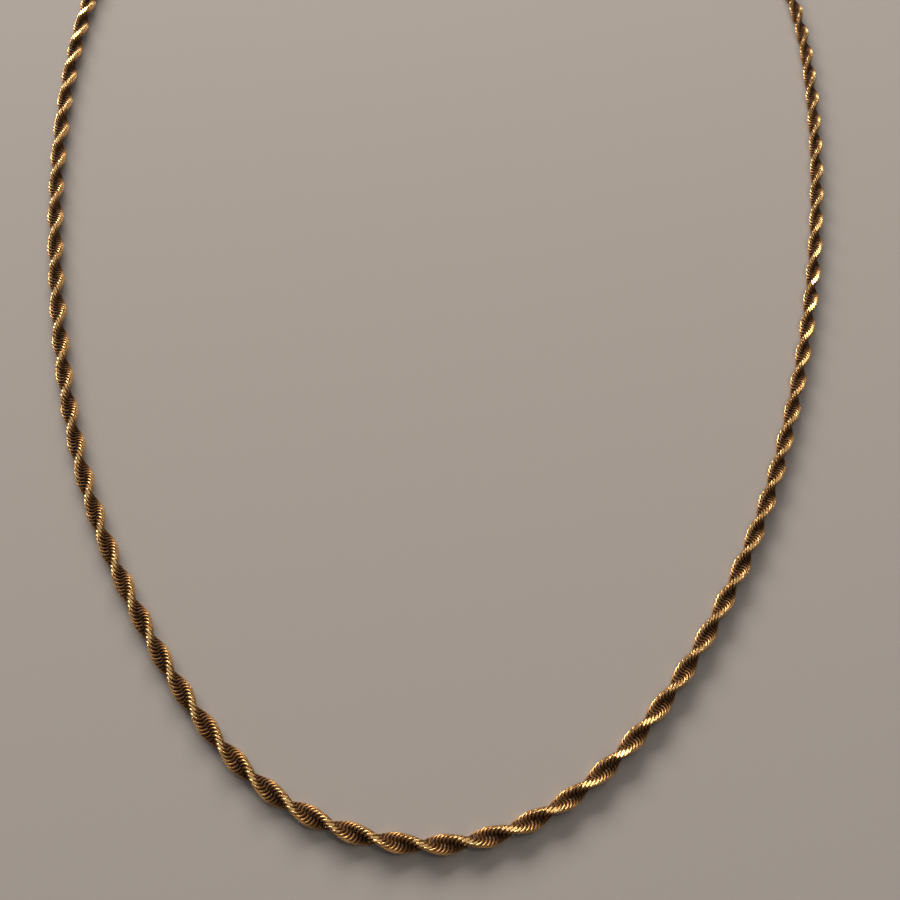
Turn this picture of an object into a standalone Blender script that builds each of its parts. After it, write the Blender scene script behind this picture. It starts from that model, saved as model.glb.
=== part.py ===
"""A rope chain necklace that lies on a surface, closed at the back by a box clasp.

A rope chain is two strands of small round links, twisted round each other to the right. Here the two
strands are one solid, which is as wide as both of them at a lobe and as thick as one of them between
two lobes, with the valley between the strands running round it. The clasp is one plain piece, with a
collar at each end that the rope runs into.

Metres, +Z up. The surface is Z = 0 and the origin lies on it, in the middle of the loop. The front of
the loop is at -Y and the clasp is at +Y.
"""

import math

import bmesh
import bpy
import numpy as np

# The rope
ROPE_WIDTH = 0.0027
STRAND_THICKNESS = 0.00095
LOBE_PITCH = 0.00647
FIRST_LOBE = 0.0007
STATIONS_PER_LOBE = 6
CLIMB_LENGTH = 0.016

# The clasp
FIT_GAP = 0.0003
COLLAR_WALL = 0.0003
COLLAR_LENGTH = 0.0030
SEAT_DEPTH = 0.0024
BODY_LENGTH = 0.0100
BODY_TOP_RISE = 0.0003
BODY_SIDE_RISE = 0.0006
BODY_EDGE = 0.0002
BODY_CORNER = 0.0012
CORNER_POINTS = 6

# Where the middle of the clasp lies, and the points that the rope passes on its way round the loop,
# from the clasp down the left side to the front and up the right side
CLASP_AT = (0.0, 0.2285)
ROUTE = (
    (-0.0270, 0.2250), (-0.0515, 0.2130), (-0.0681, 0.1925), (-0.0736, 0.1654), (-0.0739, 0.1377),
    (-0.0713, 0.1130), (-0.0663, 0.0883), (-0.0593, 0.0643), (-0.0508, 0.0443), (-0.0402, 0.0272),
    (-0.0294, 0.0138), (-0.0186, 0.0050), (-0.0065, 0.0005), (0.0063, 0.0001), (0.0184, 0.0044),
    (0.0308, 0.0145), (0.0429, 0.0307), (0.0536, 0.0510), (0.0620, 0.0744), (0.0684, 0.1007),
    (0.0724, 0.1274), (0.0741, 0.1523), (0.0733, 0.1745), (0.0664, 0.1973), (0.0498, 0.2139),
    (0.0270, 0.2250),
)

# How far the twist runs ahead of an even one: share of the rope's length, half turns
TWIST_DRIFT = (
    (0.00, 0.04), (0.215, 0.04), (0.25, -0.04), (0.295, -0.27), (0.335, -0.29), (0.37, -0.22),
    (0.41, -0.11), (0.44, -0.01), (0.475, 0.04), (0.51, 0.11), (0.54, 0.20), (0.57, 0.15),
    (0.605, 0.00), (0.64, -0.04), (0.68, 0.08), (0.72, 0.25), (0.79, 0.20), (1.00, 0.20),
)

# Half of the rope's section: share of half the width, share of half the strand's thickness
SECTION = ((0.99, -0.26), (0.99, 0.26), (0.48, 1.0), (0.0, 0.82), (-0.48, 1.0))

GOLD = (0.80, 0.56, 0.27, 1.0)
POLISHED_GOLD = (0.85, 0.63, 0.32, 1.0)

SOCKET_RADIUS = ROPE_WIDTH / 2 + FIT_GAP
COLLAR_RADIUS = SOCKET_RADIUS + COLLAR_WALL
BODY_HEIGHT = 2 * (COLLAR_RADIUS + BODY_TOP_RISE)
BODY_WIDTH = 2 * (COLLAR_RADIUS + BODY_SIDE_RISE)
CLASP_LENGTH = BODY_LENGTH + 2 * COLLAR_LENGTH


def clear_scene():
    """Remove whatever the file holds."""
    for item in list(bpy.data.objects):
        bpy.data.objects.remove(item, do_unlink=True)


def gold(name, colour, roughness):
    """A gold finish of the given colour."""
    material = bpy.data.materials.new(name)
    material.use_nodes = True
    shader = material.node_tree.nodes["Principled BSDF"]
    shader.inputs["Base Color"].default_value = colour
    shader.inputs["Metallic"].default_value = 1.0
    shader.inputs["Roughness"].default_value = roughness
    return material


def object_from(name, bm, material):
    """Turn a finished bmesh into a named object with its material."""
    bmesh.ops.recalc_face_normals(bm, faces=bm.faces)
    mesh = bpy.data.meshes.new(name)
    bm.to_mesh(mesh)
    bm.free()
    mesh.materials.append(material)
    mesh.shade_smooth()
    mesh.set_sharp_from_angle(angle=math.radians(35))
    item = bpy.data.objects.new(name, mesh)
    bpy.context.collection.objects.link(item)
    return item


def spline_slopes(points, lengths, first, last):
    """The slopes of the smooth curve through the points that leaves and arrives in given directions."""
    count = len(points)
    system = np.zeros((count, count))
    right = np.zeros((count, 2))
    system[0, 0] = 1
    right[0] = first
    system[-1, -1] = 1
    right[-1] = last
    for i in range(1, count - 1):
        before = lengths[i - 1]
        after = lengths[i]
        system[i, i - 1] = after
        system[i, i] = 2 * (before + after)
        system[i, i + 1] = before
        rise_before = (points[i] - points[i - 1]) / before
        rise_after = (points[i + 1] - points[i]) / after
        right[i] = 3 * (after * rise_before + before * rise_after)
    return np.linalg.solve(system, right)


def spline(points, first, last, steps=60):
    """Closely spaced points on the smooth curve through the given ones."""
    points = np.array(points)
    lengths = np.linalg.norm(np.diff(points, axis=0), axis=1)
    slopes = spline_slopes(points, lengths, first, last)
    t = np.linspace(0, 1, steps, endpoint=False)[:, None]
    runs = []
    for i, length in enumerate(lengths):
        runs.append(
            (1 + 2 * t) * (1 - t) ** 2 * points[i]
            + t * (1 - t) ** 2 * slopes[i] * length
            + t ** 2 * (3 - 2 * t) * points[i + 1]
            - t ** 2 * (1 - t) * slopes[i + 1] * length
        )
    return np.vstack(runs + [points[-1:]])


def rope_line():
    """The rope's middle line seen from above, from one collar of the clasp to the other."""
    reach = CLASP_LENGTH / 2 - SEAT_DEPTH
    start = (CLASP_AT[0] - reach, CLASP_AT[1])
    end = (CLASP_AT[0] + reach, CLASP_AT[1])
    return spline((start, *ROUTE, end), first=(-1.0, 0.0), last=(-1.0, 0.0))


def loop_middle(line):
    """The point that the origin is under: the middle of what the loop and the clasp cover."""
    front = line[:, 1].min() - ROPE_WIDTH / 2
    back = CLASP_AT[1] + BODY_WIDTH / 2
    return (line[:, 0].min() + line[:, 0].max()) / 2, (front + back) / 2


def smooth_step(x):
    """Ease from 0 to 1, level at both ends."""
    x = np.clip(x, 0, 1)
    return x * x * (3 - 2 * x)


def rope_height(distance, length):
    """How high the rope's middle lies: on the surface, and up to the collars at its ends."""
    from_end = np.minimum(distance, length - distance) - SEAT_DEPTH
    lift = 1 - smooth_step(from_end / CLIMB_LENGTH)
    return ROPE_WIDTH / 2 + lift * (BODY_HEIGHT - ROPE_WIDTH) / 2


def twist(distance, length):
    """The angle of the rope's wide side from the level, which grows to the right along the rope."""
    share, drift = np.array(TWIST_DRIFT).T
    half_turns = (distance - FIRST_LOBE) / LOBE_PITCH + np.interp(distance / length, share, drift)
    return math.pi * half_turns


def section_points():
    """The rope's section: across the wide side, across the strand."""
    half = [(across * ROPE_WIDTH / 2, thick * STRAND_THICKNESS / 2) for across, thick in SECTION]
    return half + [(-across, -thick) for across, thick in half]


def make_rope(line, middle):
    """Sweep the two-strand section along the line while it turns."""
    steps = np.linalg.norm(np.diff(line, axis=0), axis=1)
    travelled = np.concatenate([[0], np.cumsum(steps)])
    length = travelled[-1]
    count = round(length / LOBE_PITCH * STATIONS_PER_LOBE)
    distance = np.linspace(0, length, count + 1)
    x = np.interp(distance, travelled, line[:, 0])
    y = np.interp(distance, travelled, line[:, 1])
    heading = np.unwrap(np.arctan2(np.gradient(line[:, 1]), np.gradient(line[:, 0])))
    heading = np.interp(distance, travelled, heading)
    height = rope_height(distance, length)
    angle = twist(distance, length)
    bm = bmesh.new()
    rings = []
    for i in range(count + 1):
        ring = []
        for across, thick in section_points():
            level = across * math.cos(angle[i]) - thick * math.sin(angle[i])
            up = across * math.sin(angle[i]) + thick * math.cos(angle[i])
            ring.append(bm.verts.new((
                x[i] - middle[0] - level * math.sin(heading[i]),
                y[i] - middle[1] + level * math.cos(heading[i]),
                height[i] + up,
            )))
        rings.append(ring)
    bm.faces.new(rings[0])
    bm.faces.new(rings[-1])
    for ring, following in zip(rings, rings[1:]):
        for j in range(len(ring)):
            k = (j + 1) % len(ring)
            bm.faces.new((ring[j], ring[k], following[j]))
            bm.faces.new((ring[k], following[k], following[j]))
    return object_from("rope_chain", bm, gold("rope_gold", GOLD, 0.35))


def rounded_section(half_width, half_height, radius):
    """A rectangle with round corners, whose sides lie at the half sizes; all three alike, a circle."""
    step = math.pi / 2 / CORNER_POINTS
    reach = radius / math.cos(step / 2)
    points = []
    for corner, (side, rise) in enumerate(((1, 1), (-1, 1), (-1, -1), (1, -1))):
        for i in range(CORNER_POINTS):
            angle = step * (corner * CORNER_POINTS + i + 0.5)
            points.append((
                side * (half_width - radius) + reach * math.cos(angle),
                rise * (half_height - radius) + reach * math.sin(angle),
            ))
    return points


def clasp_stations():
    """One end of the clasp, from the bottom of its socket out to the mouth and back over the body.

    Each row: distance from the clasp's middle, half width, half height, corner radius.
    """
    mouth = CLASP_LENGTH / 2
    root = BODY_LENGTH / 2
    bottom = mouth - SEAT_DEPTH - FIT_GAP
    half_width = BODY_WIDTH / 2
    half_height = BODY_HEIGHT / 2
    return [
        (bottom, SOCKET_RADIUS, SOCKET_RADIUS, SOCKET_RADIUS),
        (mouth, SOCKET_RADIUS, SOCKET_RADIUS, SOCKET_RADIUS),
        (mouth, COLLAR_RADIUS, COLLAR_RADIUS, COLLAR_RADIUS),
        (root, COLLAR_RADIUS, COLLAR_RADIUS, COLLAR_RADIUS),
        (root, half_width - BODY_EDGE, half_height - BODY_EDGE, BODY_CORNER),
        (root - BODY_EDGE, half_width, half_height, BODY_CORNER),
    ]


def make_clasp(middle):
    """Loft the clasp through its stations, one end and then the other."""
    half = clasp_stations()
    rows = half + [(-place, *sizes) for place, *sizes in reversed(half)]
    bm = bmesh.new()
    rings = []
    for place, half_width, half_height, radius in rows:
        outline = rounded_section(half_width, half_height, radius)
        rings.append([bm.verts.new((place, level, up)) for level, up in outline])
    bm.faces.new(rings[0])
    bm.faces.new(rings[-1])
    for ring, following in zip(rings, rings[1:]):
        for j in range(len(ring)):
            k = (j + 1) % len(ring)
            bm.faces.new((ring[j], ring[k], following[k], following[j]))
    clasp = object_from("clasp", bm, gold("clasp_gold", POLISHED_GOLD, 0.25))
    clasp.location = (CLASP_AT[0] - middle[0], CLASP_AT[1] - middle[1], BODY_HEIGHT / 2)
    return clasp


def make_necklace():
    """Make both pieces under one empty at the origin."""
    clear_scene()
    line = rope_line()
    middle = loop_middle(line)
    necklace = bpy.data.objects.new("necklace", None)
    bpy.context.collection.objects.link(necklace)
    for piece in (make_rope(line, middle), make_clasp(middle)):
        piece.parent = necklace


make_necklace()
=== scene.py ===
"""Dress the rope chain necklace: its separate links, its clasp, and the surface and light it lies in.

Metres, +Z up, in the frame of the solid model. The necklace lies on Z = 0, with its front at -Y and its
clasp at +Y. The rope is two strands of open round links that pass through one another, wound round each
other to the right, with flats cut along their outer edges.
"""

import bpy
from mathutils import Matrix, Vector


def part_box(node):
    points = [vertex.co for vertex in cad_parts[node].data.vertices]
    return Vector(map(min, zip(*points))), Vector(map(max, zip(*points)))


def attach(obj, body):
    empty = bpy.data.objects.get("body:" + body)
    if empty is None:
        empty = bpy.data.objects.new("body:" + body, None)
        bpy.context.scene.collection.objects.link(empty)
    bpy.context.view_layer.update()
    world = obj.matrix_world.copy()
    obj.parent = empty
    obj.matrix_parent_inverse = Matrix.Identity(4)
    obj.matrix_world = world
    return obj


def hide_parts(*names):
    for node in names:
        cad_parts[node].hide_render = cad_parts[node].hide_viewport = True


bl_info = {
    "name": "Rope Chain Necklace",
    "version": (1, 0, 0),
    "blender": (4, 5, 0),
    "location": "3D View > Sidebar > Necklace",
    "description": "Lays a rope chain of interlocking links with its clasp, and lights it",
    "category": "Object",
}

import math

import bmesh
import bpy
import numpy as np
from bpy.props import FloatProperty, FloatVectorProperty, IntProperty, PointerProperty
from mathutils import Matrix, Vector

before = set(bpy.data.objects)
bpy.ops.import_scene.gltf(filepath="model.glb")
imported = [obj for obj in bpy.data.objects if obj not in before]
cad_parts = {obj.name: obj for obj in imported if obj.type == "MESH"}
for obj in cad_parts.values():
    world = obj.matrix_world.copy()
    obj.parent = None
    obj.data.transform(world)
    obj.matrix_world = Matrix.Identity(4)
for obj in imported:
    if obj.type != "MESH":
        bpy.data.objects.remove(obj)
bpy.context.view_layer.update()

ROPE_NODE = "rope_chain"
CLASP_NODE = "clasp"
BODY = "root"

# Where the middle of the clasp lies before the loop is centred, and the points that the rope passes on
# its way round, from the clasp down the left side to the front and up the right side
CLASP_AT = (0.0, 0.2285)
ROUTE = (
    (-0.0270, 0.2250), (-0.0515, 0.2130), (-0.0681, 0.1925), (-0.0736, 0.1654), (-0.0739, 0.1377),
    (-0.0713, 0.1130), (-0.0663, 0.0883), (-0.0593, 0.0643), (-0.0508, 0.0443), (-0.0402, 0.0272),
    (-0.0294, 0.0138), (-0.0186, 0.0050), (-0.0065, 0.0005), (0.0063, 0.0001), (0.0184, 0.0044),
    (0.0308, 0.0145), (0.0429, 0.0307), (0.0536, 0.0510), (0.0620, 0.0744), (0.0684, 0.1007),
    (0.0724, 0.1274), (0.0741, 0.1523), (0.0733, 0.1745), (0.0664, 0.1973), (0.0498, 0.2139),
    (0.0270, 0.2250),
)

# How far the twist runs ahead of an even one: share of the rope's length, half turns
TWIST_DRIFT = (
    (0.00, 0.04), (0.215, 0.04), (0.25, -0.04), (0.295, -0.27), (0.335, -0.29), (0.37, -0.22),
    (0.41, -0.11), (0.44, -0.01), (0.475, 0.04), (0.51, 0.11), (0.54, 0.20), (0.57, 0.15),
    (0.605, 0.00), (0.64, -0.04), (0.68, 0.08), (0.72, 0.25), (0.79, 0.20), (1.00, 0.20),
)

ROPE_PIECES = ("rope_back_left", "rope_left", "rope_front", "rope_right", "rope_back_right")
SEED = 7

# Share of the cut's depth that the rope lies lower for. It is less than 1 because the flats roll to and
# fro, so the rope rests on the edges between them
REST_SHARE = 0.7
# How far the links stray round the rope, as a share of how far their lean wanders
TURN_WANDER = 0.6
# Waves of the flats' roll in a metre
ROLL_WAVES = 60.0
# The most by which two links are cut to different depths, so that their flats don't coincide
CUT_SCATTER = 0.000004

# Between which distances from the rope's middle line the gold turns from dull to bright, and from near
# black to bare gold, as shares of the flats' distance, and how far patches shift either. Both darkenings
# are painted shade of the recesses between the links, partly worn duller gold and tarnish
DULL_SHADE_DEPTH = (0.75, 1.10)
DULL_SHADE_SHIFT = 0.25
SHADE_TARNISH_DEPTH = (0.50, 0.95)
SHADE_TARNISH_SHIFT = 0.2
# How much of the gold the painted shade and tarnish at the core hide, how much of its metal shine they
# take, and how far the colour differs from link to link
SHADE_TARNISH_COVER = 0.9
SHADE_TARNISH_MATT = 0.7
LINK_SPREAD = 0.25

# Roughness of the rope's bright gold, what dulling adds, what the grain varies, what the cut takes off
# and the least that is left, then how much of the grain the cut smooths away
BRIGHT_ROUGH = 0.24
DULL_ROUGH = 0.16
GRAIN_ROUGH = 0.16
CUT_POLISH = 0.12
LEAST_ROUGH = 0.08
CUT_SMOOTHING = 0.8

# The clasp's rubbed patches: from where to where they show in the noise and how much they change its
# colour, then its roughness, what the patches add and what the grain varies
RUBBED = (0.45, 0.75)
RUBBED_COVER = 0.5
CLASP_ROUGH = 0.16
CLASP_PATCH_ROUGH = 0.1
CLASP_GRAIN_ROUGH = 0.08

# A face of a link counts as flat when all its corners were planed
ALL_PLANED = 0.99

# Across the line cut round the clasp: place in half widths, share of its depth
GROOVE_PROFILE = ((1, 0), (0.5, 0.85), (0, 1), (-0.5, 0.85), (-1, 0))
CORNER_STEPS = 12
EDGE_STEPS = 6
SHARP_ANGLE = math.radians(40)
MERGE_DISTANCE = 0.000001

FLOOR_REACH = 1.5
GLINT_AIM = (0.0, -0.05, 0.0)
KEY_TINT = (1.0, 0.985, 0.96)
CEILING_TINT = (1.0, 0.98, 0.96)
GLINT_TINT = (1.0, 0.96, 0.90)
ROOM_TINT = (0.9, 0.93, 1.0)

# Sockets are picked by their place in the node, because some nodes have several of one name
ATTRIBUTE_NUMBER = 2
OBJECT_PLACE = 3
RANDOM_NUMBER = 1
VECTOR_NUMBER = 1
MIX_FACTOR = 0
MIX_FIRST = 6
MIX_SECOND = 7
MIX_COLOUR = 2


class RopeSettings(bpy.types.PropertyGroup):
    """Sizes of the rope and of its links."""

    width: FloatProperty(
        name="Rope Width", description="Across both strands", default=0.0027, unit="LENGTH", precision=5)
    lobe_pitch: FloatProperty(
        name="Lobe Pitch", description="Along the rope for half a turn of the twist", default=0.00647,
        unit="LENGTH", precision=5)
    first_lobe: FloatProperty(
        name="First Lobe", description="From the rope's start to where it first lies flat",
        default=0.0007, unit="LENGTH", precision=5)
    links_per_lobe: IntProperty(
        name="Links Per Lobe", description="Links of each strand in half a turn", default=13, min=4)
    wire: FloatProperty(
        name="Link Wire", description="Thickness of a link's wire", default=0.00034, unit="LENGTH",
        precision=5)
    wire_at_gap: FloatProperty(
        name="Wire At Gap", description="Wire thickness at the link's opening, as a share", default=0.8,
        min=0.3, max=1.0)
    link_radius: FloatProperty(
        name="Link Radius", description="Of a link, to the middle of its wire", default=0.00096,
        unit="LENGTH", precision=5)
    lean: FloatProperty(
        name="Link Lean", description="How far a link leans over along the rope",
        default=math.radians(-79), subtype="ANGLE")
    gap: FloatProperty(
        name="Link Gap", description="Angle of the link's opening, at the rope's core",
        default=math.radians(15), subtype="ANGLE")
    overhang: FloatProperty(
        name="Overhang", description="How far the links reach past the rope's width before the cut",
        default=0.00010, unit="LENGTH", precision=5)
    cut_depth: FloatProperty(
        name="Cut Depth", description="How far the flats lie within the rope's width",
        default=0.00013, unit="LENGTH", precision=5)
    cut_sides: IntProperty(
        name="Cut Sides", description="Flats in one whole turn round the rope, the first on top",
        default=6, min=3)
    cut_roll: FloatProperty(
        name="Cut Roll", description="How far the flats turn to and fro round the rope along its way",
        default=math.radians(12), subtype="ANGLE")
    wander: FloatProperty(
        name="Link Wander", description="How unevenly the links lean", default=math.radians(2.5),
        subtype="ANGLE")
    climb: FloatProperty(
        name="Climb Length", description="Over which the rope rises to the clasp", default=0.016,
        unit="LENGTH")


class ClaspSettings(bpy.types.PropertyGroup):
    """Sizes of the clasp's body and collars."""

    body_length: FloatProperty(
        name="Body Length", description="Between the two collars", default=0.0100, unit="LENGTH",
        precision=5)
    seat_depth: FloatProperty(
        name="Seat Depth", description="How far the rope runs into a collar", default=0.0024,
        unit="LENGTH", precision=5)
    fit_gap: FloatProperty(
        name="Fit Gap", description="Between the rope and the collar's wall and bottom",
        default=0.0003, unit="LENGTH", precision=5)
    collar_wall: FloatProperty(
        name="Collar Wall", description="Thickness of a collar", default=0.0003, unit="LENGTH",
        precision=5)
    corner: FloatProperty(
        name="Body Corner", description="Radius of the body's long edges", default=0.0012,
        unit="LENGTH", precision=5)
    edge: FloatProperty(
        name="Body Edge", description="Rounding of the body's ends", default=0.0004, unit="LENGTH",
        precision=5)
    groove: FloatProperty(
        name="Groove", description="Width of the line cut round the body near each end",
        default=0.00016, unit="LENGTH", precision=5)
    groove_in: FloatProperty(
        name="Groove In", description="From the body's end to the line cut round it",
        default=0.0012, unit="LENGTH", precision=5)


class GoldSettings(bpy.types.PropertyGroup):
    """Colours of the gold, and of the painted shade and tarnish between the links."""

    gold: FloatVectorProperty(
        name="Gold", description="Rubbed outer side of the links", subtype="COLOR",
        default=(0.94, 0.570, 0.225), min=0, max=1)
    # Painted shade: this darker gold below the links' outer side stands partly for the shade in the
    # recesses between them, partly for duller worn gold; it also sets the links' random tone
    deep_gold_and_shade: FloatVectorProperty(
        name="Deep Gold", description="Duller gold below the outer side", subtype="COLOR",
        default=(0.47, 0.212, 0.063), min=0, max=1)
    # Painted shade: near black that stands for the shade deep between the links at the rope's core, with
    # some tarnish
    shade_and_tarnish: FloatVectorProperty(
        name="Grime", description="Dark tarnish at the rope's core", subtype="COLOR",
        default=(0.02, 0.009, 0.005), min=0, max=1)
    clasp_gold: FloatVectorProperty(
        name="Clasp Gold", description="Polished gold of the clasp", subtype="COLOR",
        default=(0.90, 0.65, 0.33), min=0, max=1)


class StageSettings(bpy.types.PropertyGroup):
    """The surface, the lights and the camera."""

    floor: FloatVectorProperty(
        name="Floor", description="Pale grey-beige of the surface", subtype="COLOR",
        default=(0.455, 0.40, 0.354), min=0, max=1)
    camera_at: FloatVectorProperty(
        name="Camera At", description="Before the loop is centred", subtype="TRANSLATION",
        default=(-0.0070, -0.0135, 0.1470))
    look_down: FloatProperty(
        name="Look Down", description="Camera angle below the horizon", default=math.radians(63.05),
        subtype="ANGLE")
    turn: FloatProperty(
        name="Turn", description="Of the view to the right of straight on", default=math.radians(-7.7),
        subtype="ANGLE")
    roll: FloatProperty(
        name="Roll", description="Of the camera about its line of sight", default=math.radians(11.7),
        subtype="ANGLE")
    lens: FloatProperty(name="Lens", description="Millimetres on a 36 mm frame", default=40.16)
    key_at: FloatVectorProperty(
        name="Key At", description="Where the large soft light stands", subtype="TRANSLATION",
        default=(-0.48, 1.05, 0.63))
    key_aim: FloatVectorProperty(
        name="Key Aim", description="Where the large soft light faces", subtype="TRANSLATION",
        default=(-0.10, 0.20, 0.0))
    key_width: FloatProperty(
        name="Key Width", description="Of the large soft light", default=1.35, unit="LENGTH")
    key_height: FloatProperty(
        name="Key Height", description="Of the large soft light", default=0.48, unit="LENGTH")
    key_power: FloatProperty(name="Key Light", description="Watts", default=24.0)
    ceiling_at: FloatVectorProperty(
        name="Ceiling At", description="Where the wide dim panel overhead hangs",
        subtype="TRANSLATION", default=(0.0, 0.35, 0.95))
    ceiling_size: FloatProperty(
        name="Ceiling Size", description="Side of the panel overhead", default=1.2, unit="LENGTH")
    ceiling_power: FloatProperty(name="Ceiling Light", description="Watts", default=2.0)
    front_glint_at: FloatVectorProperty(
        name="Front Glint At", description="Where the small lamp stands that flats at the front mirror",
        subtype="TRANSLATION", default=(0.134, -0.028, 0.50))
    right_glint_at: FloatVectorProperty(
        name="Right Glint At", description="Where the small lamp stands that flats at the right mirror",
        subtype="TRANSLATION", default=(0.328, 0.356, 0.50))
    glint_size: FloatProperty(
        name="Glint Size", description="Side of a small lamp", default=0.08, unit="LENGTH")
    glint_power: FloatProperty(name="Glint Light", description="Watts", default=0.14)
    air: FloatProperty(name="Room Light", description="Strength of the light all round", default=0.11)


class Signal:
    """A node's output that can be used in sums; an expression on signals adds the nodes for it."""

    def __init__(self, graph, socket):
        self.graph = graph
        self.socket = socket

    def _sum(self, operation, first, second):
        vector = any(isinstance(x, Signal) and x.socket.type == "VECTOR" for x in (first, second))
        return self.graph.sum(operation, vector, first, second)

    def __add__(self, other):
        return self._sum("ADD", self, other)

    def __radd__(self, other):
        return self._sum("ADD", other, self)

    def __sub__(self, other):
        return self._sum("SUBTRACT", self, other)

    def __rsub__(self, other):
        return self._sum("SUBTRACT", other, self)

    def __mul__(self, other):
        return self._sum("MULTIPLY", self, other)

    def __rmul__(self, other):
        return self._sum("MULTIPLY", other, self)

    def __truediv__(self, other):
        return self._sum("DIVIDE", self, other)

    def __neg__(self):
        return self * -1


class Graph:
    """A node tree that is written down one call at a time."""

    def __init__(self, tree):
        self.tree = tree

    def node(self, kind, settings=None, **inputs):
        """Add a node, set its settings, then the values or links of its sockets."""
        made = self.tree.nodes.new(kind)
        for name, value in (settings or {}).items():
            setattr(made, name, value)
        for name, value in inputs.items():
            self.feed(made.inputs[name.replace("_", " ")], value)
        return made

    def feed(self, socket, value):
        """Link a signal or an output to a socket, or set the socket to a plain value."""
        if isinstance(value, Signal):
            value = value.socket
        if isinstance(value, bpy.types.NodeSocket):
            self.tree.links.new(value, socket)
        else:
            socket.default_value = value

    def signal(self, kind, settings=None, output=0, **inputs):
        """Add a node and give back one of its outputs."""
        return Signal(self, self.node(kind, settings, **inputs).outputs[output])

    def sum(self, operation, vector, *values):
        """A Math node, or a Vector Math node where vector is true."""
        made = self.tree.nodes.new("ShaderNodeVectorMath" if vector else "ShaderNodeMath")
        made.operation = operation
        if vector and operation == "MULTIPLY" and self._has_number(values):
            made.operation = "SCALE"
            values = sorted(values, key=self._is_number)
            self.feed(made.inputs[0], values[0])
            self.feed(made.inputs["Scale"], values[1])
        else:
            for socket, value in zip(made.inputs, values):
                self.feed(socket, value)
        return Signal(self, made.outputs[0])

    @staticmethod
    def _is_number(value):
        if isinstance(value, Signal):
            return value.socket.type != "VECTOR"
        return isinstance(value, (int, float))

    def _has_number(self, values):
        return any(self._is_number(value) for value in values)

    def maths(self, operation, *values):
        """A Math node on numbers."""
        return self.sum(operation, False, *values)

    def vectors(self, operation, *values, output=0):
        """A Vector Math node, whose second output is a number."""
        made = self.sum(operation, True, *values).socket.node
        return Signal(self, made.outputs[output])

    def ramp(self, value, low, high):
        """Ease from 0 to 1 as the value goes from low to high."""
        return self.signal(
            "ShaderNodeMapRange", {"interpolation_type": "SMOOTHSTEP"},
            Value=value, From_Min=low, From_Max=high)

    def blend(self, factor, first, second):
        """Mix two colours."""
        made = self.tree.nodes.new("ShaderNodeMix")
        made.data_type = "RGBA"
        for place, value in ((MIX_FACTOR, factor), (MIX_FIRST, first), (MIX_SECOND, second)):
            self.feed(made.inputs[place], value)
        return Signal(self, made.outputs[MIX_COLOUR])


def colour(rgb):
    """The colour with full opacity, as a socket takes it."""
    return (*rgb, 1.0)


def new_material(name):
    """A material with its graph and its Principled shader."""
    material = bpy.data.materials.new(name)
    material.use_nodes = True
    shader = material.node_tree.nodes["Principled BSDF"]
    return material, Graph(material.node_tree), shader


def smooth_step(x):
    """Ease from 0 to 1 as x does."""
    x = np.clip(x, 0, 1)
    return x * x * (3 - 2 * x)


def spline_slopes(points, lengths, first, last):
    """The slopes of the smooth curve through the points that leaves and arrives in given directions."""
    count = len(points)
    system = np.zeros((count, count))
    right = np.zeros((count, 2))
    system[0, 0] = 1
    right[0] = first
    system[-1, -1] = 1
    right[-1] = last
    for i in range(1, count - 1):
        before = lengths[i - 1]
        after = lengths[i]
        system[i, i - 1] = after
        system[i, i] = 2 * (before + after)
        system[i, i + 1] = before
        rise_before = (points[i] - points[i - 1]) / before
        rise_after = (points[i + 1] - points[i]) / after
        right[i] = 3 * (after * rise_before + before * rise_after)
    return np.linalg.solve(system, right)


def spline(points, first, last, steps=60):
    """Closely spaced points on the smooth curve through the given ones."""
    points = np.array(points)
    lengths = np.linalg.norm(np.diff(points, axis=0), axis=1)
    slopes = spline_slopes(points, lengths, first, last)
    t = np.linspace(0, 1, steps, endpoint=False)[:, None]
    runs = []
    for i, length in enumerate(lengths):
        runs.append(
            (1 + 2 * t) * (1 - t) ** 2 * points[i]
            + t * (1 - t) ** 2 * slopes[i] * length
            + t ** 2 * (3 - 2 * t) * points[i + 1]
            - t ** 2 * (1 - t) * slopes[i + 1] * length
        )
    return np.vstack(runs + [points[-1:]])


def loop_shift():
    """How far the loop was moved to put its middle over the origin, read from where the clasp lies."""
    low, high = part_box(CLASP_NODE)
    middle = (low + high) / 2
    return middle.x - CLASP_AT[0], middle.y - CLASP_AT[1]


def rope_line(rope, clasp):
    """The rope's middle line, its length, and the angle of its twist at each point."""
    low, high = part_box(CLASP_NODE)
    shift = loop_shift()
    reach = (high.x - low.x) / 2 - clasp.seat_depth
    start = (CLASP_AT[0] - reach, CLASP_AT[1])
    end = (CLASP_AT[0] + reach, CLASP_AT[1])
    flat = spline((start, *ROUTE, end), first=(-1.0, 0.0), last=(-1.0, 0.0))
    steps = np.linalg.norm(np.diff(flat, axis=0), axis=1)
    distance = np.concatenate([[0], np.cumsum(steps)])
    length = distance[-1]
    from_end = np.minimum(distance, length - distance) - clasp.seat_depth
    lift = 1 - smooth_step(from_end / rope.climb)
    resting = rope.width / 2 - rope.cut_depth * REST_SHARE
    height = resting + lift * ((high.z - low.z) / 2 - resting)
    share, drift = np.array(TWIST_DRIFT).T
    half_turns = (distance - rope.first_lobe) / rope.lobe_pitch
    half_turns = half_turns + np.interp(distance / length, share, drift)
    points = np.column_stack([flat[:, 0] + shift[0], flat[:, 1] + shift[1], height])
    return points, length, math.pi * half_turns


def guide_mesh(points, turn):
    """The middle line as a run of edges that carries the twist."""
    mesh = bpy.data.meshes.new("rope_guide")
    edges = [(i, i + 1) for i in range(len(points) - 1)]
    mesh.from_pydata([tuple(point) for point in points], edges, [])
    attribute = mesh.attributes.new("turn", "FLOAT", "POINT")
    attribute.data.foreach_set("value", turn.astype(np.float32))
    return mesh


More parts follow.
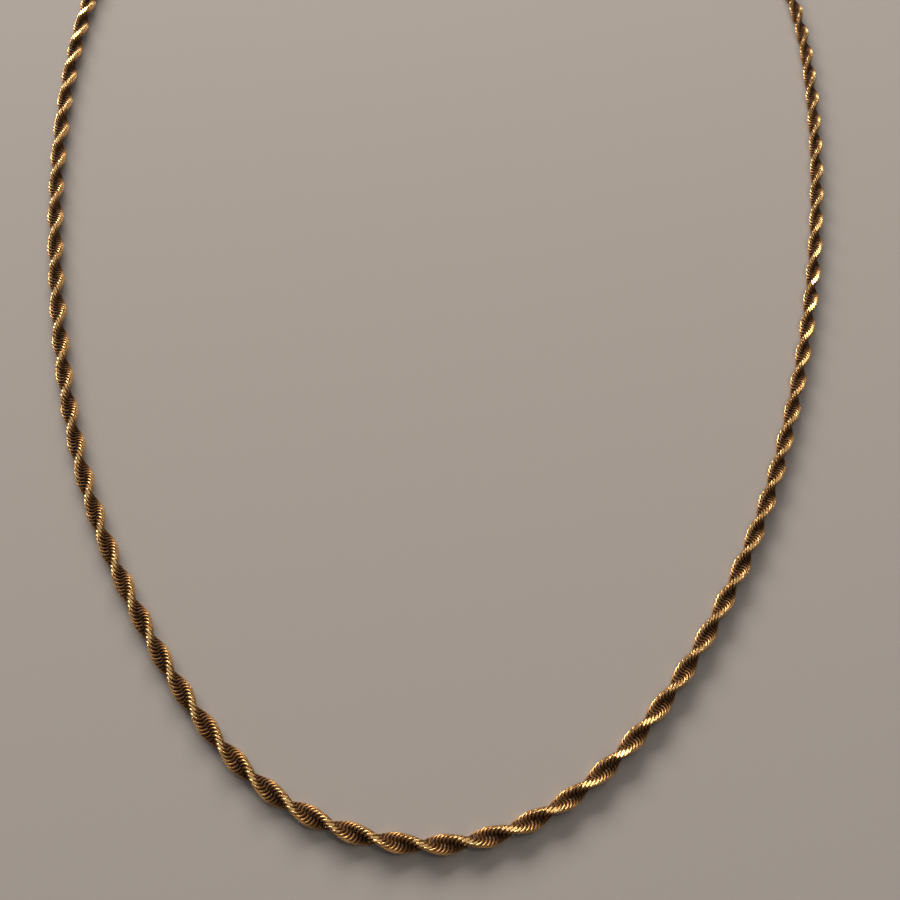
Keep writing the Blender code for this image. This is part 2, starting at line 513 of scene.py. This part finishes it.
def add_inputs(tree, inputs):
    """Add the tree's inputs and its output, and give back each input's identifier by its name."""
    names = {}
    for name, kind in inputs:
        socket = tree.interface.new_socket(name=name, in_out="INPUT", socket_type=kind)
        names[name] = socket.identifier
    tree.interface.new_socket(name="Geometry", in_out="OUTPUT", socket_type="NodeSocketGeometry")
    return names


LINK_INPUTS = (
    ("Geometry", "NodeSocketGeometry"),
    ("First Link", "NodeSocketInt"),
    ("Links", "NodeSocketInt"),
    ("Spacing", "NodeSocketFloat"),
    ("Link Radius", "NodeSocketFloat"),
    ("Offset", "NodeSocketFloat"),
    ("Lean", "NodeSocketFloat"),
    ("Wander", "NodeSocketFloat"),
    ("Wire", "NodeSocketFloat"),
    ("Wire At Gap", "NodeSocketFloat"),
    ("Gap", "NodeSocketFloat"),
    ("Cut Distance", "NodeSocketFloat"),
    ("Cut Angle", "NodeSocketFloat"),
    ("Cut Roll", "NodeSocketFloat"),
    ("Seed", "NodeSocketInt"),
    ("Material", "NodeSocketMaterial"),
)

WIRE_SIDES = 8
LINK_STATIONS = 20


def link_tree():
    """The tree that threads the links along the rope's middle line."""
    tree = bpy.data.node_groups.new("Rope Links", "GeometryNodeTree")
    names = add_inputs(tree, LINK_INPUTS)
    graph = Graph(tree)
    source = tree.nodes.new("NodeGroupInput")
    given = {name: Signal(graph, source.outputs[name]) for name, _ in LINK_INPUTS}

    line = graph.signal("GeometryNodeMeshToCurve", Mesh=given["Geometry"])
    index = graph.signal("GeometryNodeInputIndex")
    number = index + given["First Link"]
    odd = graph.maths("FLOORED_MODULO", number, 2.0)
    turn = graph.signal("GeometryNodeInputNamedAttribute", {"data_type": "FLOAT"}, Name="turn")
    place = graph.node(
        "GeometryNodeSampleCurve", {"mode": "LENGTH", "data_type": "FLOAT"},
        Curves=line, Value=turn, Length=(number + 0.5) * given["Spacing"])
    middle = Signal(graph, place.outputs["Position"])
    along = Signal(graph, place.outputs["Tangent"])
    angle = Signal(graph, place.outputs["Value"]) + odd * math.pi
    side = graph.vectors("NORMALIZE", graph.vectors("CROSS_PRODUCT", (0.0, 0.0, 1.0), along))
    rise = graph.vectors("CROSS_PRODUCT", along, side)

    def chance(channel, spread):
        """A random number for each link, from minus to plus the spread."""
        return graph.signal(
            "FunctionNodeRandomValue", {"data_type": "FLOAT"}, output=RANDOM_NUMBER,
            Min=-1.0, Max=1.0, ID=number, Seed=given["Seed"] + channel) * spread

    angle = angle + chance(0, given["Wander"] * TURN_WANDER)
    lean = given["Lean"] + chance(1, given["Wander"])
    cosine = graph.maths("COSINE", angle)
    sine = graph.maths("SINE", angle)
    outward = side * cosine + rise * sine
    across = rise * cosine - side * sine
    leaning = across * graph.maths("COSINE", lean) + along * graph.maths("SINE", lean)
    facing = graph.vectors("CROSS_PRODUCT", outward, leaning)

    points = graph.signal("GeometryNodeMeshLine", Count=given["Links"])
    points = graph.signal(
        "GeometryNodeSetPosition", Geometry=points, Position=middle + outward * given["Offset"])
    for name, value in (("middle", middle), ("along", along), ("side", side), ("rise", rise)):
        points = graph.signal(
            "GeometryNodeStoreNamedAttribute", {"data_type": "FLOAT_VECTOR"},
            Geometry=points, Name=name, Value=value)
    points = graph.signal(
        "GeometryNodeStoreNamedAttribute", {"data_type": "FLOAT"},
        Geometry=points, Name="tone", Value=chance(2, 0.5) + 0.5)

    rotation = graph.signal(
        "FunctionNodeAxesToRotation", {"primary_axis": "Z", "secondary_axis": "X"},
        Primary_Axis=facing, Secondary_Axis=outward)
    links = graph.signal(
        "GeometryNodeInstanceOnPoints", Points=points, Instance=one_link(graph, given),
        Rotation=rotation)
    links = graph.signal("GeometryNodeRealizeInstances", Geometry=links)
    links = cut_flats(graph, given, links)
    links = graph.signal("GeometryNodeSetMaterial", Geometry=links, Material=given["Material"])
    graph.node("NodeGroupOutput", Geometry=links)
    return tree, names


def one_link(graph, given):
    """An open round link whose wire is a little thinner at its opening."""
    arc = graph.signal(
        "GeometryNodeCurveArc", {"mode": "RADIUS"}, Resolution=LINK_STATIONS,
        Radius=given["Link Radius"], Start_Angle=given["Gap"] / 2 - math.pi,
        Sweep_Angle=2 * math.pi - given["Gap"])
    x = graph.signal(
        "ShaderNodeSeparateXYZ", Vector=graph.signal("GeometryNodeInputPosition"))
    outer = x / given["Link Radius"] * 0.5 + 0.5
    thickness = given["Wire At Gap"] + (1 - given["Wire At Gap"]) * outer
    arc = graph.signal("GeometryNodeSetCurveRadius", Curve=arc, Radius=thickness)
    wire = graph.signal(
        "GeometryNodeCurvePrimitiveCircle", {"mode": "RADIUS"}, Resolution=WIRE_SIDES,
        Radius=given["Wire"] / 2)
    wire = graph.signal(
        "GeometryNodeTransform", Geometry=wire, Rotation=(0.0, 0.0, math.pi / WIRE_SIDES))
    return graph.signal("GeometryNodeCurveToMesh", Curve=arc, Profile_Curve=wire, Fill_Caps=True)


def cut_flats(graph, given, links):
    """Plane the outermost metal off in flats round the rope, and mark how deep each point lies."""
    middle, along, side, rise = (
        graph.signal(
            "GeometryNodeInputNamedAttribute", {"data_type": "FLOAT_VECTOR"}, Name=name)
        for name in ("middle", "along", "side", "rise"))
    position = graph.signal("GeometryNodeInputPosition")
    out = position - middle
    out = out - along * graph.vectors("DOT_PRODUCT", out, along, output=VECTOR_NUMBER)
    level = graph.vectors("DOT_PRODUCT", out, side, output=VECTOR_NUMBER)
    up = graph.vectors("DOT_PRODUCT", out, rise, output=VECTOR_NUMBER)
    wave = graph.signal(
        "ShaderNodeTexNoise", {"noise_dimensions": "3D"}, Vector=middle, Scale=ROLL_WAVES,
        Detail=0.0)
    roll = (wave - 0.5) * given["Cut Roll"]
    from_first = graph.maths("ARCTAN2", level, up) - roll
    nearest = graph.maths("ROUND", from_first / given["Cut Angle"]) * given["Cut Angle"] + roll
    face = rise * graph.maths("COSINE", nearest) + side * graph.maths("SINE", nearest)
    reach = graph.vectors("DOT_PRODUCT", out, face, output=VECTOR_NUMBER)
    tone = graph.signal(
        "GeometryNodeInputNamedAttribute", {"data_type": "FLOAT"}, Name="tone")
    excess = graph.maths("MAXIMUM", reach - given["Cut Distance"] - tone * CUT_SCATTER, 0.0)
    reach_out = graph.vectors("LENGTH", out, output=VECTOR_NUMBER)
    for name, value in (
        ("depth", reach_out / given["Cut Distance"]),
        ("cut", graph.maths("GREATER_THAN", excess, 0.0)),
    ):
        links = graph.signal(
            "GeometryNodeStoreNamedAttribute", {"data_type": "FLOAT"},
            Geometry=links, Name=name, Value=value)
    links = graph.signal("GeometryNodeSetPosition", Geometry=links, Offset=-(face * excess))
    for name in ("middle", "along", "side", "rise"):
        links = graph.signal("GeometryNodeRemoveAttribute", Geometry=links, Name=name)
    cut = graph.signal("GeometryNodeInputNamedAttribute", {"data_type": "FLOAT"}, Name="cut")
    round_face = graph.maths("LESS_THAN", cut, ALL_PLANED)
    return graph.signal(
        "GeometryNodeSetShadeSmooth", Geometry=links, Shade_Smooth=round_face)


def plain_object(name, guide, tree, values):
    """Run a tree on a guide mesh and keep what it makes as a plain mesh object."""
    helper = bpy.data.objects.new(name + "_guide", guide)
    bpy.context.scene.collection.objects.link(helper)
    modifier = helper.modifiers.new("Links", "NODES")
    modifier.node_group = tree
    for identifier, value in values.items():
        modifier[identifier] = value
    evaluated = helper.evaluated_get(bpy.context.evaluated_depsgraph_get())
    mesh = bpy.data.meshes.new_from_object(evaluated)
    mesh.name = name
    bpy.data.objects.remove(helper)
    piece = bpy.data.objects.new(name, mesh)
    bpy.context.scene.collection.objects.link(piece)
    return piece


def rope_gold(settings):
    """Worn gold: rubbed bright outside, darker towards the core in painted shade of the recesses, partly
    dull wear and tarnish, polished on the flats.
    """
    material, graph, shader = new_material("rope_gold")
    depth = graph.signal("ShaderNodeAttribute", {"attribute_name": "depth"}, output=ATTRIBUTE_NUMBER)
    cut = graph.signal("ShaderNodeAttribute", {"attribute_name": "cut"}, output=ATTRIBUTE_NUMBER)
    tone = graph.signal("ShaderNodeAttribute", {"attribute_name": "tone"}, output=ATTRIBUTE_NUMBER)
    place = graph.signal("ShaderNodeTexCoord", output=OBJECT_PLACE)
    patches = graph.signal(
        "ShaderNodeTexNoise", {"noise_dimensions": "3D"}, Vector=place, Scale=260.0, Detail=3.0)
    grain = graph.signal(
        "ShaderNodeTexNoise", {"noise_dimensions": "3D"}, Vector=place, Scale=6000.0, Detail=3.0)
    # Painted shade: the gold darkens to deep gold the deeper a point lies below the rope's outer side,
    # partly for the shade between the links and partly for duller wear
    dull_and_shade = 1 - graph.ramp(depth + (patches - 0.5) * DULL_SHADE_SHIFT, *DULL_SHADE_DEPTH)
    shade_tarnish = 1 - graph.ramp(depth + (patches - 0.5) * SHADE_TARNISH_SHIFT, *SHADE_TARNISH_DEPTH)
    skin = graph.blend(dull_and_shade, colour(settings.gold), colour(settings.deep_gold_and_shade))
    # Painted shade: near black over the gold towards the rope's core, where shade falls between the
    # links, with some tarnish
    skin = graph.blend(shade_tarnish * SHADE_TARNISH_COVER, skin, colour(settings.shade_and_tarnish))
    skin = graph.blend((1 - tone) * LINK_SPREAD, skin, colour(settings.deep_gold_and_shade))
    graph.feed(shader.inputs["Base Color"], skin)
    graph.feed(shader.inputs["Metallic"], 1 - shade_tarnish * SHADE_TARNISH_MATT)
    shader.inputs["Specular IOR Level"].default_value = 0.2
    rough = BRIGHT_ROUGH + dull_and_shade * DULL_ROUGH + (grain - 0.5) * GRAIN_ROUGH - cut * CUT_POLISH
    graph.feed(shader.inputs["Roughness"], graph.maths("MAXIMUM", rough, LEAST_ROUGH))
    bump = graph.signal(
        "ShaderNodeBump", Strength=0.15, Distance=0.00002, Height=grain * (1 - cut * CUT_SMOOTHING))
    graph.feed(shader.inputs["Normal"], bump)
    return material


class NECKLACE_OT_rope(bpy.types.Operator):
    """Thread the rope's links along the loop, in a few pieces"""

    bl_idname = "necklace.rope"
    bl_label = "Rope"

    def execute(self, context):
        rope = context.scene.necklace_rope
        points, length, turn = rope_line(rope, context.scene.necklace_clasp)
        count = round(length / rope.lobe_pitch * rope.links_per_lobe * 2)
        half = rope.width / 2
        tree, names = link_tree()
        material = rope_gold(context.scene.necklace_gold)
        for i, name in enumerate(ROPE_PIECES):
            first = round(count * i / len(ROPE_PIECES))
            following = round(count * (i + 1) / len(ROPE_PIECES))
            values = {
                "First Link": first,
                "Links": following - first,
                "Spacing": length / count,
                "Link Radius": rope.link_radius,
                "Offset": half + rope.overhang - rope.wire / 2 - rope.link_radius,
                "Lean": rope.lean,
                "Wander": rope.wander,
                "Wire": rope.wire,
                "Wire At Gap": rope.wire_at_gap,
                "Gap": rope.gap,
                "Cut Distance": half - rope.cut_depth,
                "Cut Angle": 2 * math.pi / rope.cut_sides,
                "Cut Roll": rope.cut_roll,
                "Seed": SEED,
                "Material": material,
            }
            piece = plain_object(
                name, guide_mesh(points, turn), tree, {names[key]: v for key, v in values.items()})
            if not piece.data.polygons:
                raise RuntimeError(f"{name} came out empty")
            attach(piece, BODY)
            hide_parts(ROPE_NODE)
        return {"FINISHED"}


def polished_gold(settings):
    """Polished gold with fine rubbing marks."""
    material, graph, shader = new_material("clasp_gold")
    place = graph.signal("ShaderNodeTexCoord", output=OBJECT_PLACE)
    patches = graph.signal(
        "ShaderNodeTexNoise", {"noise_dimensions": "3D"}, Vector=place, Scale=500.0, Detail=4.0)
    grain = graph.signal(
        "ShaderNodeTexNoise", {"noise_dimensions": "3D"}, Vector=place, Scale=5000.0, Detail=3.0)
    skin = graph.blend(
        graph.ramp(patches, *RUBBED) * RUBBED_COVER, colour(settings.clasp_gold),
        colour(settings.gold))
    graph.feed(shader.inputs["Base Color"], skin)
    shader.inputs["Metallic"].default_value = 1.0
    rough = CLASP_ROUGH + patches * CLASP_PATCH_ROUGH + (grain - 0.5) * CLASP_GRAIN_ROUGH
    graph.feed(shader.inputs["Roughness"], rough)
    bump = graph.signal("ShaderNodeBump", Strength=0.12, Distance=0.00002, Height=grain)
    graph.feed(shader.inputs["Normal"], bump)
    return material


def rounded_section(half_width, half_height, radius):
    """A rectangle with round corners, whose sides lie at the half sizes; all three alike, a circle."""
    step = math.pi / 2 / CORNER_STEPS
    points = []
    for corner, (side, rise) in enumerate(((1, 1), (-1, 1), (-1, -1), (1, -1))):
        for i in range(CORNER_STEPS + 1):
            angle = step * (corner * CORNER_STEPS + i)
            points.append((
                side * (half_width - radius) + radius * math.cos(angle),
                rise * (half_height - radius) + radius * math.sin(angle),
            ))
    return points


def quarter_turn():
    """Cosine and sine of evenly spaced angles from 0 to a right angle."""
    for i in range(EDGE_STEPS + 1):
        angle = math.pi / 2 * i / EDGE_STEPS
        yield math.cos(angle), math.sin(angle)


def clasp_stations(clasp, rope_width, size):
    """One end of the clasp, from the bottom of its socket out to the mouth and back over the body.

    Each row: distance from the clasp's middle, half width, half height, corner radius.
    """
    mouth = size.x / 2
    root = clasp.body_length / 2
    socket = rope_width / 2 + clasp.fit_gap
    lip = clasp.collar_wall / 2
    middle_wall = socket + lip
    rows = [(mouth - clasp.seat_depth - clasp.fit_gap, socket, socket, socket)]
    for cosine, sine in quarter_turn():
        radius = middle_wall - lip * cosine
        rows.append((mouth - lip + lip * sine, radius, radius, radius))
    for cosine, sine in quarter_turn():
        radius = middle_wall + lip * sine
        rows.append((mouth - lip + lip * cosine, radius, radius, radius))
    solder = clasp.collar_wall / 2
    collar = socket + clasp.collar_wall
    for cosine, sine in quarter_turn():
        radius = collar + solder * (1 - cosine)
        rows.append((root + solder * (1 - sine), radius, radius, radius))
    for cosine, sine in quarter_turn():
        inset = clasp.edge * (1 - sine)
        place = root - clasp.edge * (1 - cosine)
        rows.append((place, size.y / 2 - inset, size.z / 2 - inset, clasp.corner))
    line = root - clasp.groove_in
    for step, share in GROOVE_PROFILE:
        inset = clasp.groove / 2 * share
        place = line + clasp.groove / 2 * step
        rows.append((place, size.y / 2 - inset, size.z / 2 - inset, clasp.corner))
    return rows


def loft(name, middle, rows):
    """Join sections that lie across X into one closed mesh."""
    bm = bmesh.new()
    rings = []
    for place, half_width, half_height, radius in rows:
        outline = rounded_section(half_width, half_height, radius)
        rings.append([bm.verts.new(middle + Vector((place, *point))) for point in outline])
    bm.faces.new(rings[0])
    bm.faces.new(rings[-1])
    for ring, following in zip(rings, rings[1:]):
        for j in range(len(ring)):
            k = (j + 1) % len(ring)
            bm.faces.new((ring[j], ring[k], following[k], following[j]))
    bmesh.ops.remove_doubles(bm, verts=bm.verts, dist=MERGE_DISTANCE)
    bmesh.ops.recalc_face_normals(bm, faces=bm.faces)
    mesh = bpy.data.meshes.new(name)
    bm.to_mesh(mesh)
    bm.free()
    mesh.shade_smooth()
    mesh.set_sharp_from_angle(angle=SHARP_ANGLE)
    return mesh


class NECKLACE_OT_clasp(bpy.types.Operator):
    """Shape the clasp's body, with a collar at each end and a line cut round it beside each"""

    bl_idname = "necklace.clasp"
    bl_label = "Clasp"

    def execute(self, context):
        scene = context.scene
        low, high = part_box(CLASP_NODE)
        half = clasp_stations(scene.necklace_clasp, scene.necklace_rope.width, high - low)
        rows = half + [(-place, *sizes) for place, *sizes in reversed(half)]
        mesh = loft("box_clasp", (low + high) / 2, rows)
        if not mesh.polygons:
            raise RuntimeError("the clasp came out empty")
        mesh.materials.append(polished_gold(scene.necklace_gold))
        piece = bpy.data.objects.new("box_clasp", mesh)
        scene.collection.objects.link(piece)
        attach(piece, BODY)
        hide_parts(CLASP_NODE)
        return {"FINISHED"}


def floor_material(settings):
    """Pale matt surface with a fine tooth."""
    material, graph, shader = new_material("pale_floor")
    place = graph.signal("ShaderNodeTexCoord", output=OBJECT_PLACE)
    speck = graph.signal(
        "ShaderNodeTexNoise", {"noise_dimensions": "3D"}, Vector=place, Scale=1500.0, Detail=2.0)
    shader.inputs["Base Color"].default_value = colour(settings.floor)
    shader.inputs["Roughness"].default_value = 0.9
    shader.inputs["Specular IOR Level"].default_value = 0.1
    bump = graph.signal("ShaderNodeBump", Strength=0.1, Distance=0.0001, Height=speck)
    graph.feed(shader.inputs["Normal"], bump)
    return material


def area_light(name, power, size, at, aim, tint):
    """A soft panel, width and height in size, that faces a point."""
    data = bpy.data.lights.new(name, "AREA")
    data.energy = power
    data.shape = "RECTANGLE"
    data.size = size[0]
    data.size_y = size[1]
    data.color = tint
    lamp = bpy.data.objects.new(name, data)
    lamp.location = at
    lamp.rotation_euler = (Vector(aim) - Vector(at)).to_track_quat("-Z", "Y").to_euler()
    bpy.context.scene.collection.objects.link(lamp)


def make_camera(settings):
    """The camera at the photograph's angle."""
    data = bpy.data.cameras.new("camera")
    data.lens = settings.lens
    data.sensor_width = 36.0
    data.clip_start = 0.005
    data.clip_end = 20.0
    camera = bpy.data.objects.new("camera", data)
    shift = loop_shift()
    at = Vector(settings.camera_at) + Vector((shift[0], shift[1], 0.0))
    down = settings.look_down
    ahead = Vector((0.0, math.cos(down), -math.sin(down)))
    above = Vector((0.0, math.sin(down), math.cos(down)))
    right = Vector((1.0, 0.0, 0.0))
    about = Matrix.Rotation(settings.turn, 3, "Z")
    roll_right = math.cos(settings.roll) * right + math.sin(settings.roll) * above
    roll_above = math.cos(settings.roll) * above - math.sin(settings.roll) * right
    axes = Matrix((about @ roll_right, about @ roll_above, -(about @ ahead))).transposed()
    camera.matrix_world = Matrix.Translation(at) @ axes.to_4x4()
    bpy.context.scene.collection.objects.link(camera)
    bpy.context.scene.camera = camera


class NECKLACE_OT_stage(bpy.types.Operator):
    """Lay the pale surface and set up the soft light and the camera"""

    bl_idname = "necklace.stage"
    bl_label = "Stage"

    def execute(self, context):
        settings = context.scene.necklace_stage
        bm = bmesh.new()
        bmesh.ops.create_grid(bm, x_segments=1, y_segments=1, size=FLOOR_REACH)
        mesh = bpy.data.meshes.new("floor")
        bm.to_mesh(mesh)
        bm.free()
        mesh.materials.append(floor_material(settings))
        floor = bpy.data.objects.new("floor", mesh)
        context.scene.collection.objects.link(floor)
        area_light(
            "key", settings.key_power, (settings.key_width, settings.key_height),
            settings.key_at, settings.key_aim, KEY_TINT)
        area_light(
            "ceiling", settings.ceiling_power, [settings.ceiling_size] * 2,
            settings.ceiling_at, (0, 0, 0), CEILING_TINT)
        for name, at in (
            ("front_glint", settings.front_glint_at), ("right_glint", settings.right_glint_at),
        ):
            area_light(
                name, settings.glint_power, [settings.glint_size] * 2, at, GLINT_AIM, GLINT_TINT)
        world = bpy.data.worlds.new("room")
        world.use_nodes = True
        shade = world.node_tree.nodes["Background"]
        shade.inputs["Color"].default_value = colour(ROOM_TINT)
        shade.inputs["Strength"].default_value = settings.air
        context.scene.world = world
        context.scene.view_settings.view_transform = "Standard"
        make_camera(settings)
        return {"FINISHED"}


class NECKLACE_PT_panel(bpy.types.Panel):
    """The steps that make the necklace, in their order"""

    bl_idname = "NECKLACE_PT_panel"
    bl_label = "Necklace"
    bl_space_type = "VIEW_3D"
    bl_region_type = "UI"
    bl_category = "Necklace"

    def draw(self, context):
        for operator in OPERATORS:
            self.layout.operator(operator.bl_idname)


GROUPS = {
    "necklace_rope": RopeSettings,
    "necklace_clasp": ClaspSettings,
    "necklace_gold": GoldSettings,
    "necklace_stage": StageSettings,
}
OPERATORS = (NECKLACE_OT_rope, NECKLACE_OT_clasp, NECKLACE_OT_stage)


def register():
    for group in GROUPS.values():
        bpy.utils.register_class(group)
    for name, group in GROUPS.items():
        setattr(bpy.types.Scene, name, PointerProperty(type=group))
    for operator in OPERATORS:
        bpy.utils.register_class(operator)
    bpy.utils.register_class(NECKLACE_PT_panel)


def unregister():
    bpy.utils.unregister_class(NECKLACE_PT_panel)
    for operator in reversed(OPERATORS):
        bpy.utils.unregister_class(operator)
    for name in GROUPS:
        delattr(bpy.types.Scene, name)
    for group in reversed(tuple(GROUPS.values())):
        bpy.utils.unregister_class(group)


def main():
    register()
    bpy.ops.necklace.rope()
    bpy.ops.necklace.clasp()
    bpy.ops.necklace.stage()


if __name__ == "__main__":
    main()
